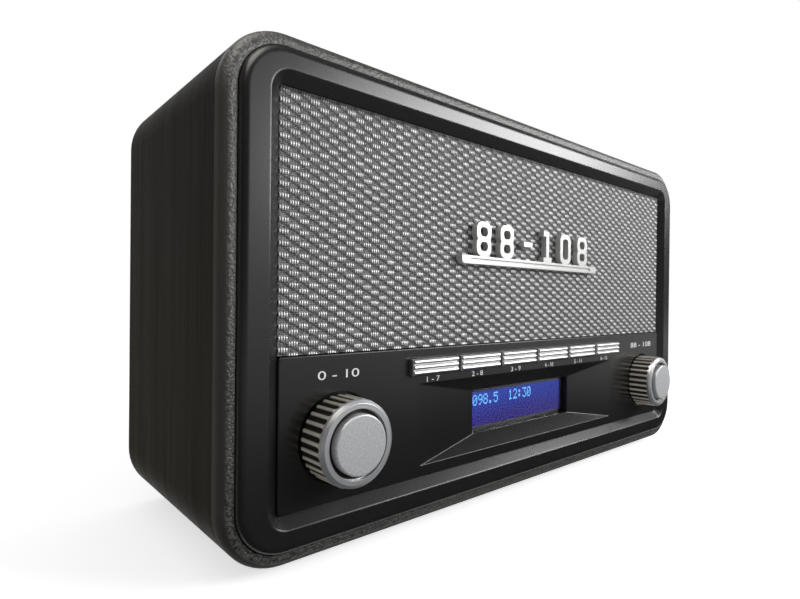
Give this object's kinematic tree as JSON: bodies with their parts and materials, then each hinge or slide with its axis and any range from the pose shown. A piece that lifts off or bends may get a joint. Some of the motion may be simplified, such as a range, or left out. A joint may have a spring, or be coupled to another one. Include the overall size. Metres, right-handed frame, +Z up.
{
  "type": "tabletop radio",
  "caption": "Retro tabletop radio in a rounded black cabinet with a silver woven grille, a row of push buttons, a recessed blue display, turning knobs and a folding telescopic aerial.",
  "frame": {"origin": "middle of the footprint of the whole object, on the surface that the feet stand on", "axes": "+X to the right seen from the front, +Y to the back, +Z up"},
  "size_m": [0.28, 0.11, 0.158],
  "materials": {
    "antenna_chrome": "bright",
    "antenna_plastic": "moulded",
    "backlight_blue": "diffusing",
    "badge_metal": "bright",
    "baffle_board": "painted fibreboard",
    "basket_metal": "black",
    "bezel_plastic": "satin",
    "board_green": "solder mask",
    "button_silver": "satin chrome plating",
    "cabinet_wrap": "black wood-grain wrap",
    "cap_paper": "pressed pulp",
    "cleat_wood": "raw",
    "component_metal": "plain",
    "display_lcd": "blue liquid crystal cell",
    "display_metal": "matt black",
    "encoder_metal": "zinc",
    "foot_rubber": "matt",
    "grille_weave": "woven silver and grey",
    "inner_plastic": "moulded",
    "jack_plastic": "moulded",
    "knob_cap_metal": "satin",
    "knob_metal": "bead-blasted",
    "magnet_ferrite": "sintered",
    "nut_steel": "zinc",
    "panel_plastic": "satin",
    "rear_plastic": "fine texture",
    "screw_steel": "blackened zinc",
    "surround_rubber": "matt",
    "switch_plastic": "moulded",
    "textured_trim": "fine pebble texture",
    "window_acrylic": "clear"
  },
  "bodies": {
    "cabinet": {"audio_in_jack": "jack_plastic", "baffle_screws": "screw_steel", "board_components": "component_metal", "board_screws": "screw_steel", "board_standoffs": "nut_steel", "cabinet_shell": "cabinet_wrap", "control_board": "board_green", "control_panel": "panel_plastic", "corner_cleats": "cleat_wood", "display_backlight": "backlight_blue", "display_frame": "display_metal", "display_glass": "display_lcd", "display_window": "window_acrylic", "encoder_nuts": "nut_steel", "front_badge": "badge_metal", "front_bezel": "bezel_plastic", "front_trim_frame": "textured_trim", "grille_cloth": "grille_weave", "grille_frame": "inner_plastic", "headphone_jack": "jack_plastic", "left_speaker_basket": "basket_metal", "left_speaker_cone": "cap_paper", "left_speaker_surround": "surround_rubber", "main_board": "board_green", "panel_screws": "screw_steel", "power_jack": "jack_plastic", "rear_cover": "rear_plastic", "rear_cover_screws": "screw_steel", "right_speaker_basket": "basket_metal", "right_speaker_cone": "cap_paper", "right_speaker_surround": "surround_rubber", "rubber_feet": "foot_rubber", "speaker_baffle": "baffle_board", "speaker_dust_caps": "cap_paper", "speaker_magnets": "magnet_ferrite", "speaker_screws": "screw_steel", "tact_switches": "switch_plastic", "tuning_encoder": "encoder_metal", "volume_encoder": "encoder_metal"},
    "volume_knob_turning": {"volume_knob": "knob_metal", "volume_knob_cap": "knob_cap_metal", "volume_shaft": "nut_steel"},
    "tuning_press": {"tuning_plunger": "switch_plastic"},
    "tuning_knob_turning": {"tuning_knob": "knob_metal", "tuning_knob_cap": "knob_cap_metal", "tuning_shaft": "nut_steel"},
    "button_1_press": {"button_1": "button_silver"},
    "button_2_press": {"button_2": "button_silver"},
    "button_3_press": {"button_3": "button_silver"},
    "button_4_press": {"button_4": "button_silver"},
    "button_5_press": {"button_5": "button_silver"},
    "button_6_press": {"button_6": "button_silver"},
    "antenna_turntable": {"antenna_fork": "antenna_plastic", "antenna_retainer": "nut_steel", "antenna_hinge_pin": "nut_steel"},
    "antenna_arm": {"antenna_elbow": "antenna_chrome", "antenna_section_1": "antenna_chrome"},
    "antenna_slider_2": {"antenna_section_2": "antenna_chrome"},
    "antenna_slider_3": {"antenna_section_3": "antenna_chrome"},
    "antenna_slider_4": {"antenna_section_4": "antenna_chrome"}
  },
  "joints": [
    {"name": "volume_turn", "type": "hinge", "parent": "cabinet", "child": "volume_knob_turning", "pos_m": [-0.1019, -0.0425, 0.0381], "axis": [0, 1, 0], "continuous": true},
    {"name": "tuning_push", "type": "slide", "parent": "cabinet", "child": "tuning_press", "axis": [0, 1, 0], "range_m": [0, 0.0008], "stiffness_N_per_m": 1500},
    {"name": "tuning_turn", "type": "hinge", "parent": "tuning_press", "child": "tuning_knob_turning", "pos_m": [0.1019, -0.0425, 0.0381], "axis": [0, 1, 0], "continuous": true},
    {"name": "button_1_push", "type": "slide", "parent": "cabinet", "child": "button_1_press", "axis": [0, 1, 0], "range_m": [0, 0.0008], "stiffness_N_per_m": 800},
    {"name": "button_2_push", "type": "slide", "parent": "cabinet", "child": "button_2_press", "axis": [0, 1, 0], "range_m": [0, 0.0008], "stiffness_N_per_m": 800},
    {"name": "button_3_push", "type": "slide", "parent": "cabinet", "child": "button_3_press", "axis": [0, 1, 0], "range_m": [0, 0.0008], "stiffness_N_per_m": 800},
    {"name": "button_4_push", "type": "slide", "parent": "cabinet", "child": "button_4_press", "axis": [0, 1, 0], "range_m": [0, 0.0008], "stiffness_N_per_m": 800},
    {"name": "button_5_push", "type": "slide", "parent": "cabinet", "child": "button_5_press", "axis": [0, 1, 0], "range_m": [0, 0.0008], "stiffness_N_per_m": 800},
    {"name": "button_6_push", "type": "slide", "parent": "cabinet", "child": "button_6_press", "axis": [0, 1, 0], "range_m": [0, 0.0008], "stiffness_N_per_m": 800},
    {"name": "antenna_swivel", "type": "hinge", "parent": "cabinet", "child": "antenna_turntable", "pos_m": [0.109, 0.0515, 0.1385], "axis": [0, 1, 0], "range_deg": [-30, 210]},
    {"name": "antenna_tilt", "type": "hinge", "parent": "antenna_turntable", "child": "antenna_arm", "pos_m": [0.109, 0.0515, 0.1385], "axis": [0, 0, -1], "range_deg": [0, 180]},
    {"name": "antenna_slide_2", "type": "slide", "parent": "antenna_arm", "child": "antenna_slider_2", "axis": [-1, 0, 0], "range_m": [0, 0.112]},
    {"name": "antenna_slide_3", "type": "slide", "parent": "antenna_slider_2", "child": "antenna_slider_3", "axis": [-1, 0, 0], "range_m": [0, 0.112]},
    {"name": "antenna_slide_4", "type": "slide", "parent": "antenna_slider_3", "child": "antenna_slider_4", "axis": [-1, 0, 0], "range_m": [0, 0.112]}
  ]
}
